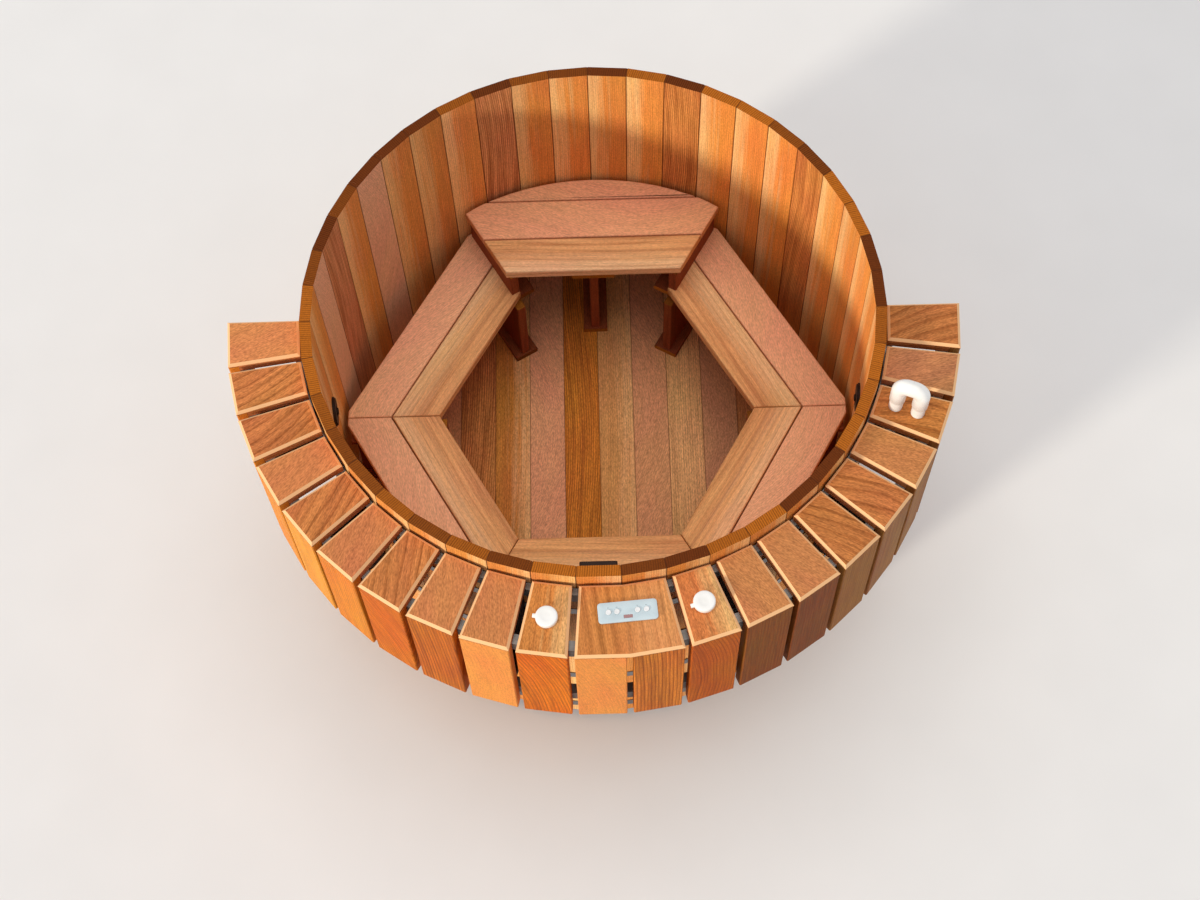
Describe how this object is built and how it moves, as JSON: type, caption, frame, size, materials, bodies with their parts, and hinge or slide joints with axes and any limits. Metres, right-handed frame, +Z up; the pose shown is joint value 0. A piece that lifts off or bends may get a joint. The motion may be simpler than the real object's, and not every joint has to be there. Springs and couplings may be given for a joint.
{
  "type": "wooden hot tub",
  "caption": "Round wooden hot tub of coopered staves with stepped plank benches and a half ring of boards that carries its control panel, air valves and air loop.",
  "frame": {"origin": "on the tub's axis at ground level, on the lower face of the middle joist", "axes": "+Z up, the control panel on the -Y side, the raised bench on the +Y side, +X to the right for someone who looks from the controls towards the raised bench"},
  "size_m": [2.296, 2.0754, 1.3625],
  "materials": {
    "stave_wood": "oiled",
    "floor_wood": "wet timber",
    "bench_wood": "planed",
    "leg_wood": "stained",
    "cap_wood": "oiled",
    "side_wood": "oiled",
    "steel": "stainless",
    "rail_aluminium": "mill",
    "white_plastic": "gloss",
    "panel_plastic": "satin",
    "dark_plastic": "matte",
    "gasket_rubber": "matte",
    "circuit_board": "matte",
    "display_window": "tinted"
  },
  "bodies": {
    "tub": {"staves": "stave_wood", "jet_staves": "stave_wood", "skim_stave": "stave_wood", "floor_planks": "floor_wood", "drain_plank": "floor_wood", "joists": "floor_wood", "hoop_bands": "steel", "hoop_lugs": "steel", "hoop_bolts": "steel", "low_inner_planks": "bench_wood", "low_outer_planks": "bench_wood", "rear_inner_plank_left": "bench_wood", "rear_outer_plank_left": "bench_wood", "rear_inner_plank_right": "bench_wood", "rear_outer_plank_right": "bench_wood", "high_front_plank": "bench_wood", "high_middle_plank": "bench_wood", "high_back_plank": "bench_wood", "leg_webs": "leg_wood", "leg_feet": "leg_wood", "leg_cleats": "leg_wood", "high_end_panels": "leg_wood", "cap_boards": "cap_wood", "control_board": "cap_wood", "valve_board_left": "cap_wood", "valve_board_right": "cap_wood", "pipe_board": "cap_wood", "side_boards": "side_wood", "inner_rail": "rail_aluminium", "outer_rail": "rail_aluminium", "lower_rail": "rail_aluminium", "frame_cleats": "leg_wood", "frame_bearers": "leg_wood", "frame_posts": "leg_wood", "coach_screws": "steel", "panel_plate": "panel_plastic", "panel_gasket": "gasket_rubber", "panel_housing": "dark_plastic", "panel_circuit": "circuit_board", "panel_display": "display_window", "valve_body_left": "white_plastic", "valve_body_right": "white_plastic", "loop_elbows": "white_plastic", "loop_risers": "white_plastic", "jet_bodies": "dark_plastic", "skim_fitting": "dark_plastic", "skim_cover": "dark_plastic", "drain_fitting": "dark_plastic", "drain_grate": "steel"},
    "button_1": {"button_1": "white_plastic"},
    "button_2": {"button_2": "white_plastic"},
    "button_3": {"button_3": "white_plastic"},
    "button_4": {"button_4": "white_plastic"},
    "air_knob_left": {"valve_knob_left": "white_plastic"},
    "air_knob_right": {"valve_knob_right": "white_plastic"},
    "jet_nozzle_left": {"jet_nozzle_left": "dark_plastic"},
    "jet_nozzle_right": {"jet_nozzle_right": "dark_plastic"}
  },
  "joints": [
    {"name": "button_1_press", "type": "slide", "parent": "tub", "child": "button_1", "axis": [0, 0, -1], "range_m": [0, 0.0015], "stiffness_N_per_m": 400, "springref_m": -0.0005},
    {"name": "button_2_press", "type": "slide", "parent": "tub", "child": "button_2", "axis": [0, 0, -1], "range_m": [0, 0.0015], "stiffness_N_per_m": 400, "springref_m": -0.0005},
    {"name": "button_3_press", "type": "slide", "parent": "tub", "child": "button_3", "axis": [0, 0, -1], "range_m": [0, 0.0015], "stiffness_N_per_m": 400, "springref_m": -0.0005},
    {"name": "button_4_press", "type": "slide", "parent": "tub", "child": "button_4", "axis": [0, 0, -1], "range_m": [0, 0.0015], "stiffness_N_per_m": 400, "springref_m": -0.0005},
    {"name": "air_knob_left_turn", "type": "hinge", "parent": "tub", "child": "air_knob_left", "pos_m": [-0.15395, -1.0214, 1.2124], "axis": [0, 0, 1], "range_deg": [-90, 90]},
    {"name": "air_knob_right_turn", "type": "hinge", "parent": "tub", "child": "air_knob_right", "pos_m": [0.30446, -0.98704, 1.2124], "axis": [0, 0, 1], "range_deg": [-90, 90]},
    {"name": "jet_left_swivel", "type": "hinge", "parent": "tub", "child": "jet_nozzle_left", "pos_m": [-0.88025, -0.09685, 0.76], "axis": [0, 0, 1], "range_deg": [-15, 15]},
    {"name": "jet_right_swivel", "type": "hinge", "parent": "tub", "child": "jet_nozzle_right", "pos_m": [0.88025, -0.09685, 0.76], "axis": [0, 0, 1], "range_deg": [-15, 15]}
  ]
}
